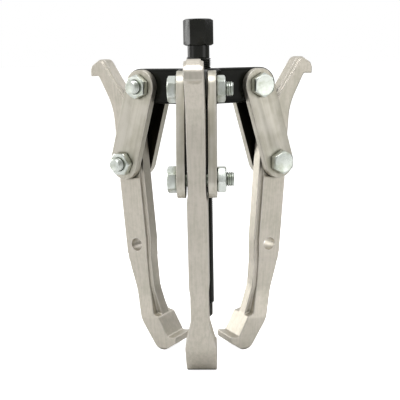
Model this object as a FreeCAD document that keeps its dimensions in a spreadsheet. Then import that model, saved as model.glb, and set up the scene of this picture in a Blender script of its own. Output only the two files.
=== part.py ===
import FreeCAD, Part
import math
import os
import Sketcher
from FreeCAD import Placement, Rotation, Vector

# Three-jaw reversible gear puller, in millimetres, +Z up.
# The origin is the centre of the forcing screw's flat end face, on the pulling axis.
# Each arm is drawn in its own frame: X outwards from the screw, Z up, and Y across the arm,
# with the bolt heads on the -Y side and the nuts on the +Y side.

doc = FreeCAD.newDocument("gear_puller")

# ---------------------------------------------------------------- driving sizes
SIZES = [
    ("pivot_radius", 45.0, "screw axis to the upper pivot bolts"),
    ("pivot_height", 178.0, "screw's end face up to the upper pivot bolts"),
    ("yoke_height", 26.4, "height of the yoke's arms"),
    ("arm_reach", 18.2, "upper pivot to the rounded end of a yoke arm"),
    ("hub_wall", 6.5, "wall of the yoke's hub around the screw"),
    ("link_gap", 15.2, "space between the two link plates of an arm"),
    ("side_clear", 0.3, "free play on each side of a piece between the plates"),
    ("plate_thick", 5.8, "thickness of a link plate"),
    ("plate_width", 25.0, "width of a link plate, also the diameter of its ends"),
    ("link_length", 61.8, "upper pivot to lower pivot"),
    ("link_slant", 16.4, "degrees the links lean outwards on the way down"),
    ("bolt_dia", 10.0, "pivot bolts' thread and shank"),
    ("bolt_hex", 16.0, "pivot bolts' and nuts' width across flats"),
    ("head_height", 6.5, "height of a bolt head"),
    ("nut_height", 6.2, "height of a nut"),
    ("bolt_stub", 5.2, "bolt end that stands out of the nut"),
    ("hole_clear", 0.1, "radial play of a bolt in its holes"),
    ("hole_spacing", 66.0, "distance between a jaw's two pivot holes"),
    ("jaw_inside", 12.6, "pivot hole to the inner edge of the jaw"),
    ("jaw_outside", 10.1, "pivot hole to the outer edge of the jaw"),
    ("jaw_thick", 14.0, "thickness of the jaw beside its holes"),
    ("jaw_slim", 12.6, "thickness of the jaw above and below that"),
    ("rib_thick", 9.0, "thickness of the rib along the inner edge"),
    ("rib_depth", 2.8, "how far the rib stands out of the thick part"),
    ("jaw_lean", 30.0, "degrees the top of the jaw leans out past the yoke"),
    ("arm_gap", 3.0, "gap between the leaning part and the yoke arm's end"),
    ("hook_length", 57.6, "bend of the jaw to the top of its small hook"),
    ("hook_reach", 18.5, "inner edge to the tip of the small hook"),
    ("hook_neck", 11.9, "depth of the jaw just under the small hook"),
    ("hook_root", 10.5, "top of the small hook down to its root"),
    ("hook_drop", 6.3, "top of the small hook down to its tip"),
    ("hook_splay", 24.0, "degrees the outer edge leans out below the small hook"),
    ("leg_step", 1.6, "how far the inner edge steps back below the spare hole"),
    ("ankle_bulge", 4.2, "how far the inner edge comes forward above the foot"),
    ("shin_cut", 10.6, "outer edge in to where the ankle turns towards the heel"),
    ("heel_cut", 25.5, "outer edge in to the corner of the heel"),
    ("heel_drop", 87.2, "lower hole down to the corner of the heel"),
    ("foot_reach", 32.0, "hole line to the tip of the foot"),
    ("foot_rise", 9.0, "heel's corner up to the underside of the foot's tip"),
    ("foot_tip", 5.3, "thickness of the foot at its tip"),
    ("face_run", 7.5, "length of the foot's upper face along the jaw's X"),
    ("face_fall", 0.3, "how much that face falls from its tip to its inner end"),
    ("foot_width", 22.6, "width of the foot across the arm"),
    ("foot_top", 57.0, "lower hole down to the top of the wide foot"),
    ("foot_tip_radius", 18.57, "screw axis to the tips of the feet"),
    ("screw_dia", 18.0, "outside diameter of the forcing screw's thread"),
    ("thread_clear", 0.15, "radial play of the screw in the yoke"),
    ("thread_length", 187.0, "threaded length of the forcing screw"),
    ("neck_dia", 16.0, "plain neck under the screw's head"),
    ("neck_length", 8.0, "length of that neck"),
    ("screw_hex", 19.0, "screw head's width across flats"),
    ("screw_head", 19.0, "height of the screw's head"),
    ("point_dia", 15.6, "diameter of the pressing point"),
    ("point_length", 12.4, "length of the pressing point"),
    ("point_chamfer", 2.8, "chamfer around the point's end face"),
    ("stem_dia", 8.0, "point's stem inside the screw"),
    ("stem_length", 11.0, "length of that stem"),
    ("hex_round", 0.96, "circle turned on a hexagon's end, as a share of its width"),
    ("screw_chamfer", 0.9, "chamfer at both ends of the screw's thread"),
    ("bolt_chamfer", 1.2, "chamfer on a bolt's end"),
]

sheet = doc.addObject("Spreadsheet::Sheet", "Sizes")
size = {}
for row, (alias, value, meaning) in enumerate(SIZES, start=1):
    sheet.set("A%d" % row, alias)
    sheet.set("B%d" % row, "%g" % value)
    sheet.set("C%d" % row, meaning)
    sheet.setAlias("B%d" % row, alias)
doc.recompute()
for alias, value, meaning in SIZES:
    size[alias] = float(sheet.get(alias))

# name of each arm and its direction around the screw, in degrees from +X
ARMS = [("front", -90.0), ("right", 30.0), ("left", 150.0)]

# how far each fastener happened to be turned when it was tightened, in degrees
HEAD_TURN = {"upper": 30.0, "lower": 30.0}
NUT_TURN = {"upper": 24.0, "lower": 2.0}
SCREW_HEAD_TURN = -0.5


# ---------------------------------------------------------------- drawing helpers
def origin_feature(body, role):
    """One of a body's own origin planes or axes, such as XZ_Plane."""
    for feature in body.Origin.OriginFeatures:
        if feature.Role == role:
            return feature


def add_body(label):
    body = doc.addObject("PartDesign::Body", label)
    body.Label = label
    return body


def add_sketch(body, name, role="XZ_Plane"):
    sketch = body.newObject("Sketcher::SketchObject", name)
    sketch.AttachmentSupport = [(origin_feature(body, role), "")]
    sketch.MapMode = "FlatFace"
    return sketch


def add_pad(body, name, sketch, length):
    """A pad of the given length, half of it on each side of the sketch."""
    pad = body.newObject("PartDesign::Pad", name)
    pad.Profile = sketch
    pad.SideType = "Symmetric"
    pad.setExpression("Length", length)
    return pad


def add_through_pocket(body, name, sketch):
    """A pocket right through the body, on both sides of the sketch."""
    before = body.Tip.Shape.Volume
    pocket = body.newObject("PartDesign::Pocket", name)
    pocket.Profile = sketch
    pocket.SideType = "Symmetric"
    pocket.Type = "ThroughAll"
    doc.recompute()
    if pocket.Shape.Volume > before - 1.0:
        raise RuntimeError(name + " cut nothing")
    return pocket


def add_circle(sketch, x, y, diameter):
    """A circle whose place and diameter are bound to expressions of the sheet."""
    centre_x, centre_y, width = (
        float(sheet.evalExpression(text.replace("Sizes.", ""))) for text in (x, y, diameter)
    )
    circle = Part.Circle(Vector(centre_x, centre_y, 0), Vector(0, 0, 1), width / 2)
    index = sketch.addGeometry(circle)
    for kind, ends, number, text in (
        ("Diameter", (index,), width, diameter),
        ("DistanceX", (-1, 1, index, 3), centre_x, x),
        ("DistanceY", (-1, 1, index, 3), centre_y, y),
    ):
        constraint = sketch.addConstraint(Sketcher.Constraint(kind, *ends, number))
        sketch.setExpression("Constraints[%d]" % constraint, text)


def rounded(corners):
    """Edges of a closed outline of (x, y, corner radius), each round corner as a tangent arc."""
    count = len(corners)
    cuts = []
    for i in range(count):
        corner = Vector(corners[i][0], corners[i][1], 0)
        back = Vector(corners[i - 1][0], corners[i - 1][1], 0) - corner
        ahead = Vector(corners[(i + 1) % count][0], corners[(i + 1) % count][1], 0) - corner
        back.normalize()
        ahead.normalize()
        radius = corners[i][2]
        half = back.getAngle(ahead) / 2
        if radius == 0:
            cuts.append((corner, None, corner))
            continue
        reach = radius / math.tan(half)
        middle = back + ahead
        middle.normalize()
        bulge = radius / math.sin(half) - radius
        cuts.append((corner + back * reach, corner + middle * bulge, corner + ahead * reach))
    edges = []
    for i in range(count):
        start, middle, end = cuts[i]
        if middle is not None:
            edges.append(Part.Arc(start, middle, end))
        following = cuts[(i + 1) % count][0]
        if (following - end).Length > 1e-6:
            edges.append(Part.LineSegment(end, following))
    return edges


def add_outline(sketch, corners):
    sketch.addGeometry(rounded(corners), False)


def add_hexagon(name, across_flats, height):
    """A hexagonal block standing on Z = 0 with its upper corners turned off at 30 degrees."""
    end_radius = across_flats + " * Sizes.hex_round / 2 * 1 mm"
    block = doc.addObject("Part::Prism", name + "_block")
    block.Polygon = 6
    block.setExpression("Circumradius", across_flats + " / 2 / cos(30 deg) * 1 mm")
    block.setExpression("Height", height + " * 1 mm")
    turned = doc.addObject("Part::Cone", name + "_turned")
    turned.setExpression("Radius2", end_radius)
    turned.setExpression("Radius1", end_radius + " + " + height + " * 1 mm / tan(30 deg)")
    turned.setExpression("Height", height + " * 1 mm")
    head = doc.addObject("Part::Common", name + "_hexagon")
    head.Base = block
    head.Tool = turned
    return head


def add_rod(name, diameter, length, below=True):
    """A round rod from Z = 0, downwards unless told otherwise."""
    rod = doc.addObject("Part::Cylinder", name)
    rod.setExpression("Radius", "(" + diameter + ") / 2 * 1 mm")
    rod.setExpression("Height", "(" + length + ") * 1 mm")
    if below:
        rod.setExpression("Placement.Base.z", "-(" + length + ") * 1 mm")
    return rod


def in_arm(direction, placement):
    """Turn a placement drawn in an arm's own frame to that arm's direction."""
    return Placement(Vector(0, 0, 0), Rotation(Vector(0, 0, 1), direction)) * placement


# ---------------------------------------------------------------- rest pose of an arm
slant = math.radians(size["link_slant"])
UPPER_PIVOT = Vector(size["pivot_radius"], 0, size["pivot_height"])
LOWER_PIVOT = UPPER_PIVOT + Vector(math.sin(slant), 0, -math.cos(slant)) * size["link_length"]
LINK_TURN = Rotation(Vector(0, 1, 0), -size["link_slant"])

# tip of the foot in the jaw's frame, whose origin is the used pivot hole with Z up the hole line
heel_z = -size["hole_spacing"] - size["heel_drop"]
tip_x = -size["foot_reach"]
tip_z = heel_z + size["foot_rise"] + size["foot_tip"]

# the jaw hangs from its pivot with the foot's tip at foot_tip_radius
tip_arm = math.hypot(tip_x, tip_z)
jaw_tilt = math.degrees(
    math.atan2(tip_z, tip_x) + math.acos((size["foot_tip_radius"] - LOWER_PIVOT.x) / tip_arm)
)
JAW_TURN = Rotation(Vector(0, 1, 0), jaw_tilt)
JAW_PLACE = Placement(LOWER_PIVOT, JAW_TURN)


# ---------------------------------------------------------------- yoke
def make_yoke():
    """Cast spider: a round hub and three flat arms with full-round ends."""
    body = add_body("yoke")

    hub_sketch = add_sketch(body, "hub_outline", "XY_Plane")
    add_circle(hub_sketch, "0", "0", "Sizes.screw_dia + 2 * Sizes.hub_wall")
    add_pad(body, "hub", hub_sketch, "Sizes.yoke_height")

    end_radius = size["yoke_height"] / 2
    arm_end = size["pivot_radius"] + size["arm_reach"]
    arm_sketch = add_sketch(body, "arm_outline")
    add_outline(arm_sketch, [
        (0, -end_radius, 0),
        (arm_end, -end_radius, end_radius),
        (arm_end, end_radius, end_radius),
        (0, end_radius, 0),
    ])
    arm = add_pad(body, "arm", arm_sketch, "Sizes.link_gap - 2 * Sizes.side_clear")

    hole_sketch = add_sketch(body, "arm_hole_outline")
    add_circle(hole_sketch, "Sizes.pivot_radius", "0", "Sizes.bolt_dia + 2 * Sizes.hole_clear")
    arm_hole = body.newObject("PartDesign::Pocket", "arm_hole")
    arm_hole.Profile = hole_sketch
    arm_hole.SideType = "Symmetric"
    arm_hole.setExpression("Length", "2 * Sizes.link_gap")

    arms = body.newObject("PartDesign::PolarPattern", "three_arms")
    arms.Originals = [arm, arm_hole]
    arms.Axis = (origin_feature(body, "Z_Axis"), [""])
    arms.Angle = 360
    arms.Occurrences = len(ARMS)
    body.Tip = arms
    doc.recompute()

    bore_sketch = add_sketch(body, "bore_outline", "XY_Plane")
    add_circle(bore_sketch, "0", "0", "Sizes.screw_dia + 2 * Sizes.thread_clear")
    add_through_pocket(body, "screw_bore", bore_sketch)

    turn = Rotation(Vector(0, 0, 1), ARMS[0][1])
    body.Placement = Placement(Vector(0, 0, size["pivot_height"]), turn)
    return body


# ---------------------------------------------------------------- forcing screw and its point
def make_screw():
    """Forcing screw: hexagon head, plain neck and long thread, drilled for the point's stem."""
    thread = add_rod("screw_thread", "Sizes.screw_dia", "Sizes.thread_length", below=False)
    thread.setExpression("Placement.Base.z", "Sizes.point_length * 1 mm")
    edges = doc.addObject("Part::Chamfer", "screw_thread_ends")
    edges.Base = thread
    doc.recompute()
    rims = []
    for number, edge in enumerate(thread.Shape.Edges, start=1):
        if edge.BoundBox.ZLength < 0.01:
            rims.append((number, size["screw_chamfer"], size["screw_chamfer"]))
    edges.Edges = rims

    neck = add_rod("screw_neck", "Sizes.neck_dia", "Sizes.neck_length", below=False)
    neck.setExpression("Placement.Base.z", "(Sizes.point_length + Sizes.thread_length) * 1 mm")

    head = add_hexagon("screw_head", "Sizes.screw_hex", "Sizes.screw_head")
    head.Placement.Rotation = Rotation(Vector(0, 0, 1), SCREW_HEAD_TURN)
    head.setExpression(
        "Placement.Base.z",
        "(Sizes.point_length + Sizes.thread_length + Sizes.neck_length) * 1 mm",
    )

    solid = doc.addObject("Part::MultiFuse", "screw_solid")
    solid.Shapes = [edges, neck, head]

    socket = add_rod(
        "point_socket",
        "Sizes.stem_dia + 2 * Sizes.hole_clear",
        "Sizes.stem_length + 1",
        below=False,
    )
    socket.setExpression("Placement.Base.z", "Sizes.point_length * 1 mm")

    screw = doc.addObject("Part::Cut", "forcing_screw")
    screw.Base = solid
    screw.Tool = socket
    return screw


def make_point():
    """Hardened point that bears on the shaft; its stem turns freely in the screw's end."""
    body = add_body("screw_point")

    point_sketch = add_sketch(body, "point_outline", "XY_Plane")
    add_circle(point_sketch, "0", "0", "Sizes.point_dia")
    point = body.newObject("PartDesign::Pad", "point")
    point.Profile = point_sketch
    point.setExpression("Length", "Sizes.point_length")

    stem_sketch = add_sketch(body, "stem_outline", "XY_Plane")
    add_circle(stem_sketch, "0", "0", "Sizes.stem_dia")
    stem = body.newObject("PartDesign::Pad", "stem")
    stem.Profile = stem_sketch
    stem.setExpression("Length", "Sizes.point_length + Sizes.stem_length")
    doc.recompute()

    for number, edge in enumerate(stem.Shape.Edges, start=1):
        if edge.BoundBox.ZMax < 0.01:
            end_rim = "Edge%d" % number
    chamfer = body.newObject("PartDesign::Chamfer", "point_end")
    chamfer.Base = (stem, [end_rim])
    chamfer.setExpression("Size", "Sizes.point_chamfer")
    body.Tip = chamfer
    return body


# ---------------------------------------------------------------- link plates
def make_link(label, side, direction):
    """Flat bar with full-round ends and two bolt holes; side is -1 for heads, +1 for nuts."""
    body = add_body(label)
    half = size["plate_width"] / 2
    end = size["link_length"] + half
    sketch = add_sketch(body, "outline_" + label)
    add_outline(sketch, [
        (-half, -end, half),
        (half, -end, half),
        (half, half, half),
        (-half, half, half),
    ])
    for drop in ("0", "-Sizes.link_length"):
        add_circle(sketch, "0", drop, "Sizes.bolt_dia + 2 * Sizes.hole_clear")
    add_pad(body, "plate_" + label, sketch, "Sizes.plate_thick")

    across = side * (size["link_gap"] + size["plate_thick"]) / 2
    place = Placement(UPPER_PIVOT + Vector(0, across, 0), LINK_TURN)
    body.Placement = in_arm(direction, place)
    return body


# ---------------------------------------------------------------- pivot bolts and nuts
STACK = "Sizes.link_gap + 2 * Sizes.plate_thick"


def make_bolt(label, place, turn, direction):
    """Hexagon-head bolt lying across the arm with its head against the head-side plate."""
    head = add_hexagon("head_" + label, "Sizes.bolt_hex", "Sizes.head_height")
    shank = add_rod(
        "shank_" + label,
        "Sizes.bolt_dia",
        STACK + " + Sizes.nut_height + Sizes.bolt_stub",
    )
    end = doc.addObject("Part::Chamfer", "shank_end_" + label)
    end.Base = shank
    doc.recompute()
    for number, edge in enumerate(shank.Shape.Edges, start=1):
        if edge.BoundBox.ZMax < shank.Shape.BoundBox.ZMin + 0.01:
            end.Edges = [(number, size["bolt_chamfer"], size["bolt_chamfer"])]
    bolt = doc.addObject("Part::Fuse", label)
    bolt.Base = head
    bolt.Tool = end

    # the head points along -Y, so the bolt's own Z is turned over
    across = -(size["link_gap"] / 2 + size["plate_thick"])
    lie = Rotation(Vector(1, 0, 0), 90) * Rotation(Vector(0, 0, 1), turn)
    bolt.Placement = in_arm(direction, Placement(place + Vector(0, across, 0), lie))
    return bolt


def make_nut(label, place, turn, direction):
    """Hexagon nut on the bolt's end, against the nut-side plate."""
    block = add_hexagon("nut_block_" + label, "Sizes.bolt_hex", "Sizes.nut_height")
    hole = add_rod("nut_thread_" + label, "Sizes.bolt_dia", "Sizes.nut_height", below=False)
    nut = doc.addObject("Part::Cut", label)
    nut.Base = block
    nut.Tool = hole

    across = size["link_gap"] / 2 + size["plate_thick"]
    lie = Rotation(Vector(1, 0, 0), -90) * Rotation(Vector(0, 0, 1), turn)
    nut.Placement = in_arm(direction, Placement(place + Vector(0, across, 0), lie))
    return nut


# ---------------------------------------------------------------- jaw
# corner radii of the forging's side outline, from the inner bend round the hook to the foot
INNER_BEND, HOOK_BACK, HOOK_TOP, HOOK_TIP, HOOK_ROOT, OUTER_BEND = 12, 7, 5.5, 0.8, 1.5, 40
OUTER_LEG, ANKLE, HEEL, FOOT_EDGE, THROAT, SHIN, INNER_LEG = 60, 25, 8, 1, 2.5, 8, 30


def jaw_corners(inset):
    """Side outline of the jaw; inset draws the inner edge that far back, for the thick part."""
    inside = -size["jaw_inside"] + inset
    outside = size["jaw_outside"]
    spare_z = -size["hole_spacing"]

    # the leaning top passes the end of the yoke's arm at arm_gap
    lean = math.radians(size["jaw_lean"])
    along = Vector(math.sin(lean), math.cos(lean), 0)
    outwards = Vector(math.cos(lean), -math.sin(lean), 0)
    end_radius = size["yoke_height"] / 2
    arm_end = UPPER_PIVOT + Vector(size["arm_reach"] - end_radius, 0, 0)
    arm_end = JAW_PLACE.inverse().multVec(arm_end)
    arm_end = Vector(arm_end.x, arm_end.z, 0)
    offset = arm_end.dot(outwards) + end_radius + size["arm_gap"]
    bend_z = (outwards.x * -size["jaw_inside"] - offset) / -outwards.y
    bend = Vector(-size["jaw_inside"], bend_z, 0)

    def hook(distance, depth):
        point = bend + along * distance + outwards * depth
        return point.x, point.y

    # where the inner edge, drawn back by the inset, meets the leaning line drawn back as much
    inner_bend_z = bend_z + inset * math.tan(lean / 2)
    top = size["hook_length"]
    reach = size["hook_reach"]
    root = hook(top - size["hook_root"], size["hook_neck"])
    # the outer edge leans out to the root of the small hook
    splay = math.radians(size["hook_splay"])
    outer_bend_z = root[1] - (root[0] - outside) / math.tan(splay)

    # heights along the leg: a step just below the spare hole, the ankle, the crease, the heel
    upper_step = spare_z + 4
    lower_step = spare_z - 16
    calf = spare_z - 34
    outer_knee = spare_z - 12
    ankle = spare_z - 0.7 * size["heel_drop"]
    crease = spare_z - size["foot_top"]
    heel = spare_z - size["heel_drop"]
    leg_inside = inside + size["leg_step"]
    throat_x = tip_x + size["face_run"]

    corners = [
        (inside, inner_bend_z, INNER_BEND),
        # the thick part stops short of the hook's top, so that the rib stands out there too
        hook(top - inset / 3, inset) + (HOOK_BACK - inset,),
        hook(top, reach - 4.5) + (HOOK_TOP,),
        hook(top - size["hook_drop"], reach) + (HOOK_TIP,),
        root + (HOOK_ROOT,),
        (outside, outer_bend_z, OUTER_BEND),
        (outside, outer_knee, OUTER_LEG),
        (outside - size["shin_cut"], ankle, ANKLE),
        (outside - size["heel_cut"], heel, HEEL),
        (tip_x + 1.0, heel + size["foot_rise"], FOOT_EDGE),
        (tip_x, tip_z, FOOT_EDGE),
        (throat_x, tip_z - size["face_fall"], THROAT),
    ]
    if inset:
        # the rib fades out into the foot along a short slope
        corners += [
            (throat_x + 7.3, crease - 0.5, 0),
            (inside - 2.4, crease + 1.0, 0),
        ]
    else:
        corners += [(inside - size["ankle_bulge"], crease - 0.5, SHIN)]
    corners += [
        (leg_inside, calf, INNER_LEG),
        (leg_inside, lower_step, INNER_LEG),
        (inside, upper_step, INNER_LEG),
    ]
    return corners


def front_cut(side):
    """Outline of what is cut away beside the jaw, seen from outside; side is -1 or +1."""
    spare_z = -size["hole_spacing"]
    thick = size["jaw_thick"] / 2
    slim = size["jaw_slim"] / 2
    wide = size["foot_width"] / 2
    # the thick stretch runs from the ends of the link plates to just below the spare hole
    plate_end = -size["plate_width"] / 2
    thick_end = spare_z - 11
    thin_start = spare_z - 13
    crease = spare_z - size["foot_top"]
    above = size["hook_length"] + 100
    beyond = wide + 10
    points = [
        (slim, above),
        (slim, plate_end + 1),
        (thick, plate_end),
        (thick, thick_end),
        (slim, thin_start),
        (slim + 0.3, crease + 17),
        (wide, crease - 1),
        (beyond, crease - 1),
        (beyond, above),
    ]
    return [(x * side, z, 0) for x, z in points]


def make_jaw(label, direction):
    """Forged two-ended jaw: a thick outer part, a thinner inner rib and a wide foot."""
    body = add_body(label)
    rib_sketch = add_sketch(body, "rib_outline_" + label)
    add_outline(rib_sketch, jaw_corners(0))
    add_pad(body, "rib_" + label, rib_sketch, "Sizes.rib_thick")

    thick_sketch = add_sketch(body, "thick_outline_" + label)
    add_outline(thick_sketch, jaw_corners(size["rib_depth"]))
    add_pad(body, "thick_" + label, thick_sketch, "Sizes.foot_width")

    sides_sketch = add_sketch(body, "sides_" + label, "YZ_Plane")
    add_outline(sides_sketch, front_cut(1))
    add_outline(sides_sketch, front_cut(-1))
    doc.recompute()
    add_through_pocket(body, "sides_cut_" + label, sides_sketch)

    hole_sketch = add_sketch(body, "hole_outlines_" + label)
    for height in ("0", "-Sizes.hole_spacing"):
        add_circle(hole_sketch, "0", height, "Sizes.bolt_dia + 2 * Sizes.hole_clear")
    add_through_pocket(body, "holes_" + label, hole_sketch)
    body.Placement = in_arm(direction, JAW_PLACE)
    return body


# ---------------------------------------------------------------- the whole puller
parts = [make_yoke(), make_screw(), make_point()]
for arm_name, direction in ARMS:
    parts.append(make_link("link_head_side_" + arm_name, -1, direction))
    parts.append(make_link("link_nut_side_" + arm_name, 1, direction))
    for level, pivot in (("upper", UPPER_PIVOT), ("lower", LOWER_PIVOT)):
        ending = level + "_" + arm_name
        parts.append(make_bolt("bolt_" + ending, pivot, HEAD_TURN[level], direction))
        parts.append(make_nut("nut_" + ending, pivot, NUT_TURN[level], direction))
    parts.append(make_jaw("jaw_" + arm_name, direction))
doc.recompute()

for item in doc.Objects:
    if "Invalid" in item.State or "Error" in item.State:
        raise RuntimeError("%s failed: %s" % (item.Label, item.State))
for part in parts:
    shape = part.Shape
    if shape.isNull() or not shape.isValid() or len(shape.Solids) != 1:
        raise RuntimeError(part.Label + " is not one valid solid")

os.makedirs("parts", exist_ok=True)
for part in parts:
    part.Shape.exportStep("parts/%s.step" % part.Label)
print("wrote %d nodes, jaw tilt %.2f degrees" % (len(parts), jaw_tilt))
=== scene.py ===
import math

import bpy
from mathutils import Matrix, Vector


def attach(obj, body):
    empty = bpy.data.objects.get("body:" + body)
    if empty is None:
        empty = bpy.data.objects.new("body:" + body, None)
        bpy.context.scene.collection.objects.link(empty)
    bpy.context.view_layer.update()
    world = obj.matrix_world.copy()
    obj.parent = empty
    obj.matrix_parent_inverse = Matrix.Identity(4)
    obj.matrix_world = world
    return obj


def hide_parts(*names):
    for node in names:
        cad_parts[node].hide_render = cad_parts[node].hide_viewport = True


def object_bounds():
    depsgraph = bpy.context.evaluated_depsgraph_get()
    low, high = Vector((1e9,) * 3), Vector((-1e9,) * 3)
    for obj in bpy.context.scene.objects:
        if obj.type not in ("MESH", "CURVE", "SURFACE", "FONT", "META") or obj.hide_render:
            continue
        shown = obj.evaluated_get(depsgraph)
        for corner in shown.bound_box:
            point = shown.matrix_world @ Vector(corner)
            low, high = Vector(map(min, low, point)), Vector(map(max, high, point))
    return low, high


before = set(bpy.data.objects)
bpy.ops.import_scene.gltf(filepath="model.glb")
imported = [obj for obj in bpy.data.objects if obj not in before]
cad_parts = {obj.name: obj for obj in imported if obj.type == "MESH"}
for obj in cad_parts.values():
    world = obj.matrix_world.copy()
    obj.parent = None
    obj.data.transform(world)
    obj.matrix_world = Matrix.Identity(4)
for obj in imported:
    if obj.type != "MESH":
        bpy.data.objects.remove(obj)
cad_low, cad_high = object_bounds()

# ---------------------------------------------------------------- camera
# A close camera, a little above the yoke and a little to the right, so that the front
# arm stands large in the middle and the two rear arms open to either side.
camera_data = bpy.data.cameras.new("camera")
camera_data.sensor_width = 36.0
camera_data.lens = 69.56
camera_data.clip_start = 0.01
camera_data.clip_end = 50.0
camera = bpy.data.objects.new("camera", camera_data)
bpy.context.scene.collection.objects.link(camera)

azimuth = math.radians(2.18)
elevation = math.radians(10.71)
lean = math.radians(0.97)
distance = 0.5852
back = Vector((
    math.sin(azimuth) * math.cos(elevation),
    -math.cos(azimuth) * math.cos(elevation),
    math.sin(elevation),
))
level_right = Vector((math.cos(azimuth), math.sin(azimuth), 0.0))
level_up = back.cross(level_right)
right = level_right * math.cos(lean) - level_up * math.sin(lean)
up = level_right * math.sin(lean) + level_up * math.cos(lean)
aim = Vector((0.0, 0.0, 0.0928)) - level_right * 0.00075
pose = Matrix((right, up, back)).transposed().to_4x4()
pose.translation = aim + back * distance
camera.matrix_world = pose
bpy.context.scene.camera = camera


# ---------------------------------------------------------------- floor and light
# A plain pale table under even studio light: a white surround, dimmer on the camera's side
# and to the right behind, and five soft lights: two at the right, two at the left, one above.
class Wire:
    """A node's output socket; arithmetic on it adds Math nodes to its tree."""

    def __init__(self, socket):
        self.socket = socket
        self.tree = socket.id_data

    def node(self, kind, settings, values, output=0):
        """Add any node: settings are set first, then values or wires go to its inputs."""
        made = self.tree.nodes.new(kind)
        for name, setting in settings.items():
            setattr(made, name, setting)
        for name, value in values.items():
            if isinstance(value, Wire):
                self.tree.links.new(value.socket, made.inputs[name])
            else:
                made.inputs[name].default_value = value
        return Wire(made.outputs[output])

    def math(self, operation, first, second=0.0):
        return self.node("ShaderNodeMath", {"operation": operation}, {0: first, 1: second})

    def __add__(self, other):
        return self.math("ADD", self, other)

    def __sub__(self, other):
        return self.math("SUBTRACT", self, other)

    def __rsub__(self, other):
        return self.math("SUBTRACT", other, self)

    def __mul__(self, other):
        return self.math("MULTIPLY", self, other)

    __radd__ = __add__
    __rmul__ = __mul__

    def within(self, low, high):
        """0 below low, 1 above high and smooth between."""
        return self.node(
            "ShaderNodeMapRange", {"interpolation_type": "SMOOTHSTEP"},
            {"Value": self, "From Min": low, "From Max": high},
        )

    def noise(self, vector, scale, detail=2.0, roughness=0.5):
        return self.node("ShaderNodeTexNoise", {}, {
            "Vector": vector, "Scale": scale, "Detail": detail, "Roughness": roughness,
        })

    def crevices(self, distance, local):
        """1 in the open, falling towards 0 in tight corners: the mask of painted shade in corners
        and creases.
        """
        return self.node(
            "ShaderNodeAmbientOcclusion", {"samples": 8, "only_local": local},
            {"Distance": distance}, 1,
        )

    def colours(self, factor, first, second):
        return self.node(
            "ShaderNodeMix", {"data_type": "RGBA"}, {0: factor, 6: first, 7: second}, 2,
        )

    def feed(self, socket):
        self.tree.links.new(self.socket, socket)


def new_material(name, **constants):
    """A material, its shader's inputs, and a wire of the places on the piece."""
    material = bpy.data.materials.new(name)
    material.use_nodes = True
    shader = material.node_tree.nodes["Principled BSDF"]
    for key, value in constants.items():
        shader.inputs[key.replace("_", " ")].default_value = value
    places = material.node_tree.nodes.new("ShaderNodeTexCoord")
    return material, shader.inputs, Wire(places.outputs["Object"])


DARK_WAY = (0.83, 0.56, 0.0)
FLOOR_SIZE = 30.0

bpy.ops.object.select_all(action="DESELECT")
bpy.ops.mesh.primitive_plane_add(size=FLOOR_SIZE, location=(0.0, 0.0, cad_low[2]))
floor = bpy.context.active_object
floor.name = "floor"
pale, shader, place = new_material("pale_table", Roughness=0.6, Emission_Strength=1.0)
cloud = place.noise(place, 0.8, 3.0)
pale_top = place.colours(cloud, (0.78, 0.78, 0.785, 1.0), (0.82, 0.82, 0.82, 1.0))
dark_way = place.node(
    "ShaderNodeVectorMath", {"operation": "DOT_PRODUCT"}, {0: place, 1: DARK_WAY}, 1,
)
# painted shade: the table is painted dark towards the right behind for the metal to reflect; its
# glow keeps it white to the camera
painted_floor_shade = dark_way.within(0.10, 0.60) * 0.8
place.colours(painted_floor_shade, pale_top, (0.20, 0.21, 0.19, 1.0)).feed(shader["Base Color"])
# the table glows for the camera alone, so it is white in the picture and dimmer in the metal
seen = Wire(place.tree.nodes.new("ShaderNodeLightPath").outputs["Is Camera Ray"])
place.colours(seen, (0.0, 0.0, 0.0, 1.0), (0.92, 0.92, 0.92, 1.0)).feed(shader["Emission Color"])
floor.data.materials.append(pale)

world = bpy.data.worlds.new("studio")
bpy.context.scene.world = world
world.use_nodes = True
surround = world.node_tree.nodes["Background"]
ray = Wire(world.node_tree.nodes.new("ShaderNodeLightPath").outputs["Is Camera Ray"])
gaze = Wire(world.node_tree.nodes.new("ShaderNodeTexCoord").outputs["Generated"])
depth = gaze.node("ShaderNodeSeparateXYZ", {}, {0: gaze}, 1)
far_side = depth.within(-0.9, 0.5)
glow = far_side * 0.40 + 0.45
dark_way = gaze.node(
    "ShaderNodeVectorMath", {"operation": "DOT_PRODUCT"}, {0: gaze, 1: DARK_WAY}, 1,
)
glow = glow * (1.0 - dark_way.within(0.55, 0.95) * 0.7)
glow = ray + (1.0 - ray) * glow
glow.feed(surround.inputs["Strength"])
surround.inputs["Color"].default_value = (1.0, 1.0, 1.0, 1.0)
bpy.context.scene.view_settings.view_transform = "Standard"

for name, place_at, width, height, power, tint in (
    ("side_light", (1.0, -0.50, 0.30), 0.6, 0.8, 1.8, (1.0, 0.99, 0.98)),
    ("top_light", (-0.10, -0.40, 1.05), 0.7, 0.5, 5.5, (0.97, 0.97, 1.0)),
    ("left_light", (-0.95, 0.55, 0.30), 0.35, 0.9, 3.1, (1.0, 1.0, 0.99)),
    ("low_light", (-1.00, -0.50, 0.35), 0.5, 0.6, 0.8, (1.0, 0.99, 0.97)),
    ("right_light", (0.80, 0.60, 0.65), 0.4, 0.4, 1.4, (0.96, 0.96, 1.0)),
):
    light_data = bpy.data.lights.new(name, "AREA")
    light_data.shape = "RECTANGLE"
    light_data.size = width
    light_data.size_y = height
    light_data.energy = power
    light_data.color = tint
    light = bpy.data.objects.new(name, light_data)
    light.location = place_at
    toward = Vector((0.0, 0.0, 0.1)) - Vector(place_at)
    light.rotation_euler = toward.to_track_quat("-Z", "Y").to_euler()
    bpy.context.scene.collection.objects.link(light)


# ---------------------------------------------------------------- yoke
# A cast steel spider: a round hub, threaded for the forcing screw, and three flat arms with
# full-round ends, each bored for a pivot bolt. Black oxide over the cast skin.
MM = 0.001


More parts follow.
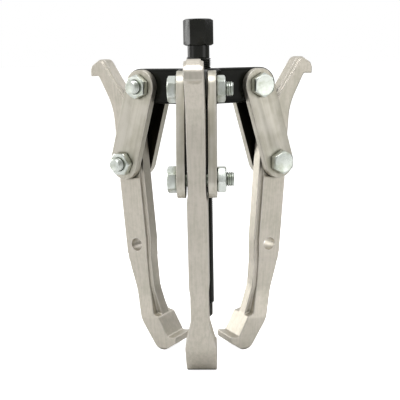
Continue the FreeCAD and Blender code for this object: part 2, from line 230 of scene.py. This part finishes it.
def begin():
    if bpy.context.mode != "OBJECT":
        bpy.ops.object.mode_set(mode="OBJECT")
    bpy.ops.object.select_all(action="DESELECT")


def only(piece):
    """Make one object the selected and active one."""
    begin()
    piece.select_set(True)
    bpy.context.view_layer.objects.active = piece


def pick(piece, mode, test):
    """In edit mode, select the vertices, edges or faces whose place and normal pass a test."""
    only(piece)
    bpy.ops.object.mode_set(mode="EDIT")
    bpy.ops.mesh.select_mode(type=mode)
    bpy.ops.mesh.select_all(action="DESELECT")
    bpy.ops.object.mode_set(mode="OBJECT")
    mesh = piece.data
    if mode == "VERT":
        for vertex in mesh.vertices:
            vertex.select = test(vertex.co, vertex.normal)
    elif mode == "EDGE":
        for edge in mesh.edges:
            start, end = (mesh.vertices[i].co for i in edge.vertices)
            edge.select = test((start + end) / 2, end - start)
    else:
        for face in mesh.polygons:
            face.select = test(face.center, face.normal)
    bpy.ops.object.mode_set(mode="EDIT")


def leave():
    bpy.ops.object.mode_set(mode="OBJECT")


def modify(piece, kind, **settings):
    """Add a modifier and apply it."""
    only(piece)
    modifier = piece.modifiers.new(kind.lower(), kind)
    for name, value in settings.items():
        setattr(modifier, name, value)
    bpy.ops.object.modifier_apply(modifier=modifier.name)


def combine(piece, tool, operation):
    """Unite, cut or intersect a piece with a tool, which is used up."""
    modify(piece, "BOOLEAN", object=tool, operation=operation, solver="EXACT")
    bpy.data.objects.remove(tool)


def move(piece, matrix):
    """Put a piece somewhere and write its place into its mesh."""
    only(piece)
    piece.matrix_world = matrix
    bpy.ops.object.transform_apply(location=True, rotation=True, scale=True)


def add_rod(radius, low, high, corners=64, matrix=None):
    """A rod along Z from low to high."""
    begin()
    bpy.ops.mesh.primitive_cylinder_add(
        vertices=corners, radius=radius, depth=high - low, location=(0, 0, (low + high) / 2),
    )
    rod = bpy.context.active_object
    bpy.ops.object.transform_apply(location=True)
    if matrix:
        move(rod, matrix)
    return rod


def add_stadium(radius, length, thick, corners=64):
    """A flat bar in the XZ plane with full-round ends, from the origin down to -length."""
    bar = add_rod(radius, -thick / 2, thick / 2, corners, Matrix.Rotation(math.pi / 2, 4, "X"))
    move(bar, Matrix.Rotation(math.pi / corners, 4, "Y"))
    pick(bar, "VERT", lambda place, normal: place.z < 0)
    bpy.ops.transform.translate(value=(0, 0, -length))
    leave()
    return bar


def bevel_edges(piece, test, width, segments):
    """Round the sharp edges that pass a test on their middle and direction."""
    pick(piece, "EDGE", test)
    bpy.ops.mesh.bevel(offset=width, segments=segments, affect="EDGES", clamp_overlap=True)
    leave()


def soften(piece, voxel, passes):
    """Give a forging or casting its evenly rounded skin."""
    modify(piece, "REMESH", mode="VOXEL", voxel_size=voxel, use_smooth_shade=True)
    modify(piece, "SMOOTH", factor=0.5, iterations=passes)


def remember_places(piece):
    """Keep each vertex's place before the piece is put in position, for its grain."""
    mesh = piece.data
    kept = mesh.attributes.new("grain", "FLOAT_VECTOR", "POINT")
    places = [0.0] * (3 * len(mesh.vertices))
    mesh.vertices.foreach_get("co", places)
    kept.data.foreach_set("vector", places)


YOKE_MIDDLE = 178.0 * MM
YOKE_HEIGHT = 26.4 * MM
ARM_WIDTH = 14.6 * MM
PIVOT_RADIUS = 45.0 * MM
ARM_END = 63.2 * MM
HUB_RADIUS = 15.5 * MM
BORE_RADIUS = 9.15 * MM
PIVOT_HOLE = 5.1 * MM
HUB_ROUNDING = 2.4 * MM
ARM_ROUNDING = 2.8 * MM
ARMS = {"front": -90.0, "right": 30.0, "left": 150.0}
flat = Matrix.Rotation(math.pi / 2, 4, "X")

yoke = add_rod(HUB_RADIUS, -YOKE_HEIGHT / 2, YOKE_HEIGHT / 2, 96)
bevel_edges(yoke, lambda place, along: abs(along.z) < 1e-6, HUB_ROUNDING, 5)
for direction in ARMS.values():
    turn = Matrix.Rotation(math.radians(direction), 4, "Z")
    arm = add_stadium(YOKE_HEIGHT / 2, ARM_END - YOKE_HEIGHT / 2, ARM_WIDTH)
    bevel_edges(arm, lambda place, along: abs(along.y) < 1e-6, ARM_ROUNDING, 5)
    move(arm, turn @ Matrix.Rotation(-math.pi / 2, 4, "Y"))
    combine(yoke, arm, "UNION")
soften(yoke, 0.7 * MM, 12)
for direction in ARMS.values():
    turn = Matrix.Rotation(math.radians(direction), 4, "Z")
    hole = add_rod(PIVOT_HOLE, -ARM_WIDTH, ARM_WIDTH, 48, flat)
    move(hole, turn @ Matrix.Translation((PIVOT_RADIUS, 0, 0)))
    combine(yoke, hole, "DIFFERENCE")
combine(yoke, add_rod(BORE_RADIUS, -YOKE_HEIGHT, YOKE_HEIGHT, 64), "DIFFERENCE")
move(yoke, Matrix.Translation((0, 0, YOKE_MIDDLE)))
yoke.name = "yoke_casting"

black, shader, place = new_material(
    "black_oxide_casting", Metallic=0.0, Specular_IOR_Level=0.14,
)
patches = place.noise(place, 55.0, 4.0, 0.6)
skin = place.noise(place, 900.0, 3.0, 0.6)
worn = patches.within(0.45, 0.72)
black_base = place.colours(worn, (0.003, 0.0033, 0.0018, 1), (0.007, 0.0078, 0.005, 1))
black_base.feed(shader["Base Color"])
(0.22 + patches * 0.10 + skin * 0.05).feed(shader["Roughness"])
place.node("ShaderNodeBump", {}, {
    "Strength": 0.25, "Distance": 0.0002, "Height": skin + patches * 0.8,
}).feed(shader["Normal"])
yoke.data.materials.append(black)
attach(yoke, "yoke")
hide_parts("yoke")


# ---------------------------------------------------------------- forcing screw
# A long machine screw with a cut right-hand thread, a turned neck and a tall hexagon for a
# spanner. Turned from bar and blackened, so it is smoother than the casting.
PITCH = 1.5 * MM
SCREW_RADIUS = 9.0 * MM
SCREW_THREAD_DEPTH = 0.92 * MM
SCREW_CHAMFER = 0.9 * MM
NECK_RADIUS = 8.0 * MM
NECK_SINK = 0.4 * MM
SCREW_HEX = 19.0 * MM
SCREW_HEAD_TURN = -0.5 - 30.0
THREAD_LOW = 12.4 * MM
THREAD_HIGH = 199.4 * MM
HEAD_LOW = 207.4 * MM
HEAD_HIGH = 226.4 * MM


def draw_line(places):
    """A chain of edges through the given places, drawn by extruding a single vertex."""
    begin()
    bpy.ops.mesh.primitive_plane_add(size=0.001, location=places[0])
    line = bpy.context.active_object
    bpy.ops.object.transform_apply(location=True)
    bpy.ops.object.mode_set(mode="EDIT")
    bpy.ops.mesh.select_mode(type="VERT")
    bpy.ops.mesh.select_all(action="SELECT")
    bpy.ops.mesh.merge(type="CENTER")
    for start, end in zip(places, places[1:]):
        step = Vector(end) - Vector(start)
        bpy.ops.mesh.extrude_vertices_move(TRANSFORM_OT_translate={"value": step})
    leave()
    return line


def add_thread(radius, depth, low, high, pitch, steps):
    """A right-hand thread along Z with closed, flat ends."""
    turns = math.ceil((high - low) / pitch) + 3
    base = low - 1.5 * pitch
    line = draw_line([
        (radius - depth, 0, base),
        (radius - depth * 0.95, 0, base + pitch * 0.10),
        (radius, 0, base + pitch * 0.47),
        (radius, 0, base + pitch * 0.60),
        (radius - depth * 0.95, 0, base + pitch * 0.95),
        (radius - depth, 0, base + pitch),
    ])
    modify(
        line, "SCREW", axis="Z", angle=2 * math.pi, screw_offset=pitch, iterations=turns,
        steps=steps, render_steps=steps, use_smooth_shade=False,
    )
    pick(line, "VERT", lambda place, normal: True)
    bpy.ops.mesh.remove_doubles(threshold=0.00001)
    for height, outward in ((low, -1), (high, 1)):
        bpy.ops.mesh.select_all(action="SELECT")
        bpy.ops.mesh.bisect(
            plane_co=(0, 0, height), plane_no=(0, 0, outward), use_fill=True, clear_outer=True,
        )
    bpy.ops.mesh.select_all(action="SELECT")
    bpy.ops.mesh.normals_make_consistent(inside=False)
    leave()
    return line


def taper_end(piece, height, length, ratio):
    """Extrude the flat end at a height outwards and shrink it, as a lead-in chamfer."""
    pick(piece, "FACE", lambda place, normal: abs(place.z - height) < 1e-5 and abs(normal.z) > 0.9)
    bpy.ops.mesh.extrude_region_move(TRANSFORM_OT_translate={"value": (0, 0, length)})
    bpy.ops.transform.resize(value=(ratio, ratio, 1), center_override=(0, 0, height + length))
    leave()


def add_hexagon(across_flats, low, high, both_ends, turned=0.96):
    """A hexagon bar along Z whose corners are turned off at 30 degrees."""
    block = add_rod(across_flats / 2 / math.cos(math.radians(30)), low, high, 6)
    reach = across_flats / 2
    height = high - low
    for end, way in ((high, 1), (low, -1)):
        if way < 0 and not both_ends:
            continue
        begin()
        tall = height + 2 * reach
        wide = turned * reach + tall / math.tan(math.radians(30))
        radii = (wide, turned * reach) if way > 0 else (turned * reach, wide)
        bpy.ops.mesh.primitive_cone_add(
            vertices=96, radius1=radii[0], radius2=radii[1], depth=tall,
            location=(0, 0, end - way * tall / 2),
        )
        cone = bpy.context.active_object
        bpy.ops.object.transform_apply(location=True)
        combine(block, cone, "INTERSECT")
    return block


cut_low = THREAD_LOW + SCREW_CHAMFER
cut_high = THREAD_HIGH - SCREW_CHAMFER
screw = add_thread(SCREW_RADIUS, SCREW_THREAD_DEPTH, cut_low, cut_high, PITCH, 32)
taper_end(screw, cut_low, -SCREW_CHAMFER, 0.9)
taper_end(screw, cut_high, SCREW_CHAMFER, 0.9)
neck = add_rod(NECK_RADIUS, THREAD_HIGH - NECK_SINK, HEAD_LOW + NECK_SINK, 64)
head = add_hexagon(SCREW_HEX, HEAD_LOW, HEAD_HIGH, True)
move(head, Matrix.Rotation(math.radians(SCREW_HEAD_TURN), 4, "Z"))
modify(head, "BEVEL", width=0.35 * MM, segments=2, limit_method="ANGLE", angle_limit=0.5)
begin()
for piece in (neck, head, screw):
    piece.select_set(True)
bpy.context.view_layer.objects.active = screw
bpy.ops.object.join()
screw.name = "forcing_screw_turned"
only(screw)
bpy.ops.object.shade_smooth_by_angle(angle=math.radians(30))

dark, shader, place = new_material("black_oxide_turned", Metallic=0.0, Specular_IOR_Level=0.4)
film = place.noise(place, 140.0, 4.0, 0.6)
lathe = place.node("ShaderNodeMapping", {}, {"Vector": place, "Scale": (1, 1, 60)})
rings = place.noise(lathe, 60.0, 2.0, 0.5)
black_base = place.colours(film, (0.003, 0.0034, 0.0014, 1), (0.007, 0.0076, 0.004, 1))
black_base.feed(shader["Base Color"])
(0.16 + film * 0.10 + rings * 0.06).feed(shader["Roughness"])
place.node("ShaderNodeBump", {}, {
    "Strength": 0.15, "Distance": 0.0001, "Height": rings + film,
}).feed(shader["Normal"])
screw.data.materials.append(dark)
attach(screw, "screw")
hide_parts("forcing_screw")


# ---------------------------------------------------------------- pressing point
# A short hardened button on a stem, free to turn in the screw's end, so that it stays
# still on the shaft. Turned, chamfered and blackened.
POINT_RADIUS = 7.8 * MM
POINT_TOP = 12.3 * MM
POINT_CHAMFER = 2.8 * MM
STEM_LENGTH = 11.0 * MM

point = add_rod(POINT_RADIUS, 0.0, POINT_TOP, 64)
pick(point, "EDGE", lambda place, along: place.z < 1e-5 and abs(along.z) < 1e-6)
bpy.ops.mesh.bevel(offset=POINT_CHAMFER, segments=1, affect="EDGES")
leave()
pick(point, "FACE", lambda place, normal: normal.z < -0.99)
bpy.ops.mesh.inset(thickness=2.6 * MM)
bpy.ops.transform.translate(value=(0, 0, 0.35 * MM))
leave()
pick(point, "FACE", lambda place, normal: normal.z > 0.99)
bpy.ops.mesh.inset(thickness=0.7 * MM)
bpy.ops.mesh.inset(thickness=3.1 * MM)
bpy.ops.mesh.extrude_region_move(TRANSFORM_OT_translate={"value": (0, 0, STEM_LENGTH)})
leave()
modify(point, "BEVEL", width=0.25 * MM, segments=2, limit_method="ANGLE", angle_limit=0.5)
only(point)
bpy.ops.object.shade_smooth_by_angle(angle=math.radians(30))
point.name = "screw_point_turned"
point.data.materials.append(dark)
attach(point, "point")
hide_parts("screw_point")


# ---------------------------------------------------------------- link plates
# Six flat steel bars, two to an arm, with full-round ends and a hole at each end. Blanked
# from strip, deburred, brushed along their length and zinc plated. The faces turned to the
# yoke are painted near black, as painted shade between the plates.
PLATE_RADIUS = 12.5 * MM
PLATE_THICK = 5.8 * MM
LINK_LENGTH = 61.8 * MM
LINK_SLANT = 16.4
LINK_GAP = 15.2 * MM
PLATE_EDGE = 0.45 * MM


def put_copy(model, name, matrix, shift):
    """Copy a piece with its own mesh, grain and place; shift moves its grain along."""
    begin()
    piece = model.copy()
    piece.data = model.data.copy()
    piece.name = name
    bpy.context.scene.collection.objects.link(piece)
    kept = piece.data.attributes["grain"].data
    for value in kept:
        value.vector = Vector(value.vector) + Vector((shift, 0.0, shift))
    move(piece, matrix)
    return piece


def round_off(piece, degrees):
    only(piece)
    bpy.ops.object.shade_smooth_by_angle(angle=math.radians(degrees))


plate = add_stadium(PLATE_RADIUS, LINK_LENGTH, PLATE_THICK, 96)
for height in (0.0, -LINK_LENGTH):
    combine(plate, add_rod(
        PIVOT_HOLE, -PLATE_THICK, PLATE_THICK, 48, Matrix.Translation((0, 0, height)) @ flat,
    ), "DIFFERENCE")
bevel_edges(plate, lambda place, along: abs(along.y) < 1e-6, PLATE_EDGE, 3)
round_off(plate, 35)
remember_places(plate)

zinc, shader, place = new_material("zinc_plate_brushed", Metallic=1.0)
grain = place.node("ShaderNodeAttribute", {"attribute_name": "grain"}, {}, 1)
brushed = grain.node("ShaderNodeMapping", {}, {"Vector": grain, "Scale": (1.0, 1.0, 0.035)})
fine = grain.noise(brushed, 2600.0, 3.0, 0.6)
streak = grain.noise(brushed, 420.0, 3.0, 0.55)
cloud = grain.noise(grain, 60.0, 3.0, 0.6)
tarnish = (cloud * 0.7 + streak * 0.5).within(0.42, 0.78)
base = grain.colours(tarnish, (0.65, 0.62, 0.545, 1), (0.50, 0.475, 0.39, 1))
corner = grain.node("ShaderNodeBevel", {"samples": 4}, {"Radius": 0.0009})
true_normal = Wire(grain.tree.nodes.new("ShaderNodeNewGeometry").outputs["Normal"])
turned = grain.node(
    "ShaderNodeVectorMath", {"operation": "DOT_PRODUCT"}, {0: corner, 1: true_normal}, 1,
)
# edge wear and painted highlight: the rounded edges are painted lighter in patches
edge_wear_and_highlight = (1.0 - turned).within(0.01, 0.12) * cloud.within(0.3, 0.6)
# painted shade: the face turned to the yoke is painted near black, for the shade between the
# plates
inward = grain.node("ShaderNodeSeparateXYZ", {}, {0: grain}, 1)
painted_inner_shade = inward.within(PLATE_THICK / 2 - 0.3 * MM, PLATE_THICK / 2 - 0.05 * MM)
wear_and_painted_light_base = grain.colours(edge_wear_and_highlight, base, (0.74, 0.73, 0.71, 1))
# painted shade: corners, creases and the plate round the fasteners are painted dark
painted_crevice_shade = 1.0 - grain.crevices(3.0 * MM, False).within(0.35, 0.9)
wear_and_painted_light_base = grain.colours(painted_crevice_shade * 0.75, wear_and_painted_light_base, (0.10, 0.09, 0.05, 1))
grain.colours(painted_inner_shade, wear_and_painted_light_base, (0.020, 0.018, 0.012, 1)).feed(shader["Base Color"])
(0.36 + cloud * 0.08 + fine * 0.10 - edge_wear_and_highlight * 0.08).feed(shader["Roughness"])
grain.node("ShaderNodeBump", {}, {
    "Strength": 0.30, "Distance": 0.00008, "Height": fine * 0.7 + streak * 0.6 + cloud * 0.5,
}).feed(shader["Normal"])
plate.data.materials.append(zinc)

count = 0
for arm_name, direction in ARMS.items():
    turn = Matrix.Rotation(math.radians(direction), 4, "Z")
    for side_name, side in (("head", -1), ("nut", 1)):
        across = side * (LINK_GAP + PLATE_THICK) / 2
        where = Matrix.Translation((PIVOT_RADIUS, across, YOKE_MIDDLE))
        slope = Matrix.Rotation(math.radians(-LINK_SLANT), 4, "Y")
        if side > 0:
            slope = slope @ Matrix.Rotation(math.pi, 4, "Z")
        node = "link_%s_side_%s" % (side_name, arm_name)
        piece = put_copy(plate, node + "_bar", turn @ where @ slope, 0.11 * count)
        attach(piece, "links_" + arm_name)
        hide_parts(node)
        count += 1
bpy.data.objects.remove(plate)


# ---------------------------------------------------------------- pivot bolts
# M10 hexagon bolts, cold headed, with rolled threads and bright zinc plating. They cross
# the arm from the head-side plate to the nut-side plate and carry the whole pull.
HEX_ACROSS = 16.0 * MM
HEAD_HEIGHT = 6.5 * MM
NUT_HEIGHT = 6.2 * MM
BOLT_STUB = 5.2 * MM
BOLT_RADIUS = 5.0 * MM
BOLT_THREAD_DEPTH = 0.85 * MM
SHANK_RADIUS = 4.97 * MM
BLANK_RADIUS = 5.1 * MM
STACK = LINK_GAP + 2 * PLATE_THICK
BOLT_END = -(STACK + NUT_HEIGHT + BOLT_STUB)
LINK_RUN = LINK_LENGTH * math.sin(math.radians(LINK_SLANT))
LINK_FALL = LINK_LENGTH * math.cos(math.radians(LINK_SLANT))
PIVOTS = {
    "upper": (PIVOT_RADIUS, YOKE_MIDDLE),
    "lower": (PIVOT_RADIUS + LINK_RUN, YOKE_MIDDLE - LINK_FALL),
}

head = add_hexagon(HEX_ACROSS, 0.0, HEAD_HEIGHT, False)
pick(head, "FACE", lambda place, normal: normal.z > 0.99)
bpy.ops.mesh.inset(thickness=0.6 * MM)
bpy.ops.mesh.inset(thickness=0.7 * MM)
bpy.ops.transform.translate(value=(0, 0, -0.12 * MM))
leave()
modify(head, "BEVEL", width=0.25 * MM, segments=2, limit_method="ANGLE", angle_limit=0.45)
shank = add_rod(SHANK_RADIUS, -STACK - 2.5 * MM, 0.3 * MM, 48)
thread_top = -STACK - 2.2 * MM
bolt = add_thread(
    BOLT_RADIUS, BOLT_THREAD_DEPTH, BOLT_END - 0.5 * MM, thread_top, PITCH, 36,
)
# the thread runs out over the chamfered end of the bolt's blank
blank = add_rod(BLANK_RADIUS, BOLT_END, 0.0, 72)
bevel_edges(blank, lambda place, along: place.z < BOLT_END + 1e-6, 1.0 * MM, 1)
combine(bolt, blank, "INTERSECT")
pick(bolt, "FACE", lambda place, normal: place.z < BOLT_END + 1e-5 and normal.z < -0.9)
bpy.ops.mesh.inset(thickness=1.6 * MM)
bpy.ops.transform.translate(value=(0, 0, 0.3 * MM))
leave()
begin()
for piece in (head, shank, bolt):
    piece.select_set(True)
bpy.context.view_layer.objects.active = bolt
bpy.ops.object.join()
round_off(bolt, 32)
remember_places(bolt)

bright, shader, place = new_material("zinc_bright_fastener", Metallic=1.0)
grain = place.node("ShaderNodeAttribute", {"attribute_name": "grain"}, {}, 1)
cloud = grain.noise(grain, 160.0, 3.0, 0.6)
grit = grain.noise(grain, 1500.0, 2.0, 0.5)
stain = cloud.within(0.42, 0.75)
tinted = grain.colours(stain, (0.74, 0.78, 0.73, 1), (0.52, 0.56, 0.46, 1))
# painted shade: corners, creases and faces close to the plates are painted dark
painted_crevice_shade = 1.0 - grain.crevices(2.5 * MM, False).within(0.3, 0.85)
grain.colours(painted_crevice_shade * 0.85, tinted, (0.06, 0.07, 0.035, 1)).feed(shader["Base Color"])
(0.22 + cloud * 0.10 + grit * 0.04).feed(shader["Roughness"])
grain.node("ShaderNodeBump", {}, {
    "Strength": 0.2, "Distance": 0.00008, "Height": grit + cloud,
}).feed(shader["Normal"])
bolt.data.materials.append(bright)

for arm_name, direction in ARMS.items():
    turn = Matrix.Rotation(math.radians(direction), 4, "Z")
    for level, (radius, height) in PIVOTS.items():
        where = Matrix.Translation((radius, -STACK / 2, height))
        lie = Matrix.Rotation(math.pi / 2, 4, "X")
        node = "bolt_%s_%s" % (level, arm_name)
        piece = put_copy(bolt, node + "_zinc", turn @ where @ lie, 0.07 * count)
        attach(piece, "links_" + arm_name)
        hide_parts(node)
        count += 1
bpy.data.objects.remove(bolt)


# ---------------------------------------------------------------- nuts
# M10 hexagon nuts, chamfered on both faces and countersunk, run up against the nut-side
# plates. The same bright zinc as the bolts.
NUT_TURN = {"upper": 24.0, "lower": 2.0}

nut = add_hexagon(HEX_ACROSS, 0.0, NUT_HEIGHT, True)
combine(nut, add_rod(4.6 * MM, -NUT_HEIGHT, 2 * NUT_HEIGHT, 48), "DIFFERENCE")
begin()
bpy.ops.mesh.primitive_cone_add(
    vertices=48, radius1=4.3 * MM, radius2=5.8 * MM, depth=1.5 * MM,
    location=(0, 0, NUT_HEIGHT - 0.45 * MM),
)
sink = bpy.context.active_object
bpy.ops.object.transform_apply(location=True)
combine(nut, sink, "DIFFERENCE")
modify(nut, "BEVEL", width=0.22 * MM, segments=2, limit_method="ANGLE", angle_limit=0.45)
round_off(nut, 32)
remember_places(nut)
nut.data.materials.append(bright)

for arm_name, direction in ARMS.items():
    turn = Matrix.Rotation(math.radians(direction), 4, "Z")
    for level, (radius, height) in PIVOTS.items():
        where = Matrix.Translation((radius, STACK / 2, height))
        lie = Matrix.Rotation(-math.pi / 2, 4, "X")
        lie = lie @ Matrix.Rotation(math.radians(NUT_TURN[level] - 30.0), 4, "Z")
        node = "nut_%s_%s" % (level, arm_name)
        piece = put_copy(nut, node + "_zinc", turn @ where @ lie, 0.07 * count)
        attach(piece, "links_" + arm_name)
        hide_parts(node)
        count += 1
bpy.data.objects.remove(nut)


# ---------------------------------------------------------------- jaws
# Three drop forgings, each with a thick outer part, a thinner rib along its inner edge, a
# small hook at the top and a wide foot at the bottom. Ground on the outside, zinc plated.
JAW_TILT = 4.957
HOLE_SPACING = 66.0
BEND_X, BEND_Z = -12.6, 34.116
HOOK_LENGTH, HOOK_REACH, HOOK_NECK = 57.6, 18.5, 11.9
OUTSIDE = 10.1
FOOT_TIP_X, HEEL_Z = -32.0, -153.2
FOOT_TIP_Z = HEEL_Z + 14.3
CREASE_Z = -HOLE_SPACING - 57.0
RIB_DEPTH = 2.8
SLIM, BOSS, FOOT = 6.3, 7.0, 11.3


def draw_slab(corners, thick):
    """A slab in the XZ plane, drawn corner by corner in millimetres: x, z, corner radius."""
    slab = draw_line([(x * MM, 0, z * MM) for x, z, radius in corners])
    pick(slab, "VERT", lambda place, normal: True)
    bpy.ops.mesh.edge_face_add()
    leave()
    count = len(corners)
    for i, (x, z, radius) in enumerate(corners):
        if radius == 0:
            continue
        here = Vector((x, 0, z))
        before = Vector((corners[i - 1][0], 0, corners[i - 1][1])) - here
        after = Vector((corners[(i + 1) % count][0], 0, corners[(i + 1) % count][1])) - here
        half = before.angle(after) / 2
        reach = min(radius / math.tan(half), 0.48 * before.length, 0.48 * after.length)
        steps = max(2, round(math.degrees(math.pi - 2 * half) / 6))
        pick(slab, "VERT", lambda place, normal: (place - here * MM).length < 1e-6)
        bpy.ops.mesh.bevel(offset=reach * MM, segments=steps, affect="VERTICES")
        leave()
    pick(slab, "FACE", lambda place, normal: True)
    bpy.ops.mesh.extrude_region_move(TRANSFORM_OT_translate={"value": (0, thick, 0)})
    bpy.ops.mesh.select_all(action="SELECT")
    bpy.ops.transform.translate(value=(0, -thick / 2, 0))
    bpy.ops.mesh.normals_make_consistent(inside=False)
    leave()
    return slab


def on_hook(distance, depth):
    """A place on the leaning top: so far along it, and so deep from its inner edge."""
    lean_back = math.radians(30)
    x = BEND_X + distance * math.sin(lean_back) + depth * math.cos(lean_back)
    z = BEND_Z + distance * math.cos(lean_back) - depth * math.sin(lean_back)
    return x, z


inside = BEND_X + RIB_DEPTH
root = on_hook(HOOK_LENGTH - 10.5, HOOK_NECK)
outer_bend = root[1] - (root[0] - OUTSIDE) / math.tan(math.radians(24))
jaw = draw_slab([
    (inside, BEND_Z + RIB_DEPTH * math.tan(math.radians(15)), 12),
    on_hook(HOOK_LENGTH - RIB_DEPTH / 3, RIB_DEPTH) + (4.2,),
    on_hook(HOOK_LENGTH, HOOK_REACH - 4.5) + (5.5,),
    on_hook(HOOK_LENGTH - 6.3, HOOK_REACH) + (0.8,),
    root + (1.5,),
    (OUTSIDE, outer_bend, 40),
    (OUTSIDE, -HOLE_SPACING - 12, 60),
    (OUTSIDE - 10.6, -HOLE_SPACING - 61.0, 25),
    (OUTSIDE - 25.5, HEEL_Z, 8),
    (FOOT_TIP_X + 1.0, HEEL_Z + 9.0, 1.6),
    (FOOT_TIP_X, FOOT_TIP_Z, 0.8),
    (FOOT_TIP_X + 7.5, FOOT_TIP_Z - 0.3, 1.0),
    (FOOT_TIP_X + 14.8, CREASE_Z - 0.5, 0),
    (inside - 2.4, CREASE_Z + 1.0, 0),
    (inside + 1.6, -HOLE_SPACING - 34, 30),
    (inside + 1.6, -HOLE_SPACING - 16, 30),
    (inside, -HOLE_SPACING + 4, 30),
], 30 * MM)

# the forging seen from outside: slim, a thicker stretch at the holes, and the flared foot
right_side = [
    (SLIM, 130, 0),
    (SLIM, -11.5, 1),
    (BOSS, -12.5, 1),
    (BOSS, -HOLE_SPACING - 10, 6),
    (SLIM, -HOLE_SPACING - 15, 6),
    (SLIM + 0.2, CREASE_Z + 19, 28),
    (FOOT, CREASE_Z - 2, 2),
    (FOOT, HEEL_Z + 9, 6),
    (10.4, HEEL_Z - 5, 0),
]
left_side = [(-x, z, radius) for x, z, radius in reversed(right_side)]
front = draw_slab(right_side + left_side, 400 * MM)
move(front, Matrix.Rotation(math.pi / 2, 4, "Z"))
combine(jaw, front, "INTERSECT")

rib = draw_slab([
    (BEND_X, BEND_Z, 12),
    on_hook(HOOK_LENGTH, 0) + (7,),
    on_hook(HOOK_LENGTH + 0.1, HOOK_REACH - 5.5) + (4.0,),
    on_hook(HOOK_LENGTH - 5.0, HOOK_REACH - 4.0) + (0,),
    on_hook(20, 6) + (0,),
    (0, -20, 0),
    (0, -HOLE_SPACING - 30, 0),
    (-8, CREASE_Z - 8, 0),
    (-15, CREASE_Z - 12, 0),
    (FOOT_TIP_X + 11.0, CREASE_Z - 8.5, 2),
    (BEND_X - 4.2, CREASE_Z - 0.5, 8),
    (BEND_X + 1.6, -HOLE_SPACING - 34, 30),
    (BEND_X + 1.6, -HOLE_SPACING - 16, 30),
    (BEND_X, -HOLE_SPACING + 4, 30),
], 9 * MM)
combine(jaw, rib, "UNION")
soften(jaw, 0.5 * MM, 4)
for height in (0.0, -HOLE_SPACING * MM):
    combine(jaw, add_rod(
        PIVOT_HOLE, -20 * MM, 20 * MM, 48, Matrix.Translation((0, 0, height)) @ flat,
    ), "DIFFERENCE")
round_off(jaw, 40)
remember_places(jaw)

forged, shader, place = new_material("zinc_plate_forged", Metallic=1.0)
grain = place.node("ShaderNodeAttribute", {"attribute_name": "grain"}, {}, 1)
drawn = grain.node("ShaderNodeMapping", {}, {"Vector": grain, "Scale": (1.0, 1.0, 0.05)})
streak = grain.noise(drawn, 700.0, 4.0, 0.65)
mottle = grain.noise(grain, 260.0, 5.0, 0.7)
cloud = grain.noise(grain, 35.0, 3.0, 0.6)
grit = grain.noise(grain, 1100.0, 3.0, 0.6)
tone = (mottle * 0.35 + cloud * 0.30 + streak * 0.45).within(0.44, 0.68)
base = grain.colours(tone, (0.65, 0.605, 0.53, 1), (0.54, 0.515, 0.435, 1))
corner = grain.node("ShaderNodeBevel", {"samples": 4}, {"Radius": 0.0012})
true_normal = Wire(grain.tree.nodes.new("ShaderNodeNewGeometry").outputs["Normal"])
turned = grain.node(
    "ShaderNodeVectorMath", {"operation": "DOT_PRODUCT"}, {0: corner, 1: true_normal}, 1,
)
# edge wear and painted highlight: the rounded edges are painted lighter in patches
edge_wear_and_highlight = (1.0 - turned).within(0.01, 0.12) * mottle.within(0.35, 0.6)
base = grain.colours(edge_wear_and_highlight, base, (0.72, 0.70, 0.68, 1))
# painted shade: corners and creases, such as the step beside the rib, are painted dark
painted_crevice_shade = 1.0 - grain.crevices(3.5 * MM, False).within(0.40, 0.92)
base = grain.colours(painted_crevice_shade * 0.8, base, (0.09, 0.09, 0.05, 1))
# painted shade: the wall of the spare hole is painted near black
over = grain.node("ShaderNodeSeparateXYZ", {}, {0: grain}, 0)
down = grain.node("ShaderNodeSeparateXYZ", {}, {0: grain}, 2)
spare = down + HOLE_SPACING * MM
squared = over * over + spare * spare
reach = squared.math("SQRT", squared)
bored = 1.0 - reach.within(PIVOT_HOLE + 0.05 * MM, PIVOT_HOLE + 0.25 * MM)
grain.colours(bored * 0.85, base, (0.07, 0.075, 0.04, 1)).feed(shader["Base Color"])
(0.36 + mottle * 0.14 + grit * 0.05 - edge_wear_and_highlight * 0.08).feed(shader["Roughness"])
grain.node("ShaderNodeBump", {}, {
    "Strength": 0.30, "Distance": 0.00010, "Height": mottle * 0.6 + grit * 0.5 + streak * 0.6,
}).feed(shader["Normal"])
jaw.data.materials.append(forged)

for arm_name, direction in ARMS.items():
    turn = Matrix.Rotation(math.radians(direction), 4, "Z")
    where = Matrix.Translation((PIVOTS["lower"][0], 0, PIVOTS["lower"][1]))
    tilt = Matrix.Rotation(math.radians(JAW_TILT), 4, "Y")
    node = "jaw_" + arm_name
    piece = put_copy(jaw, node + "_forging", turn @ where @ tilt, 0.13 * count)
    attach(piece, "jaw_" + arm_name)
    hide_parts(node)
    count += 1
bpy.data.objects.remove(jaw)
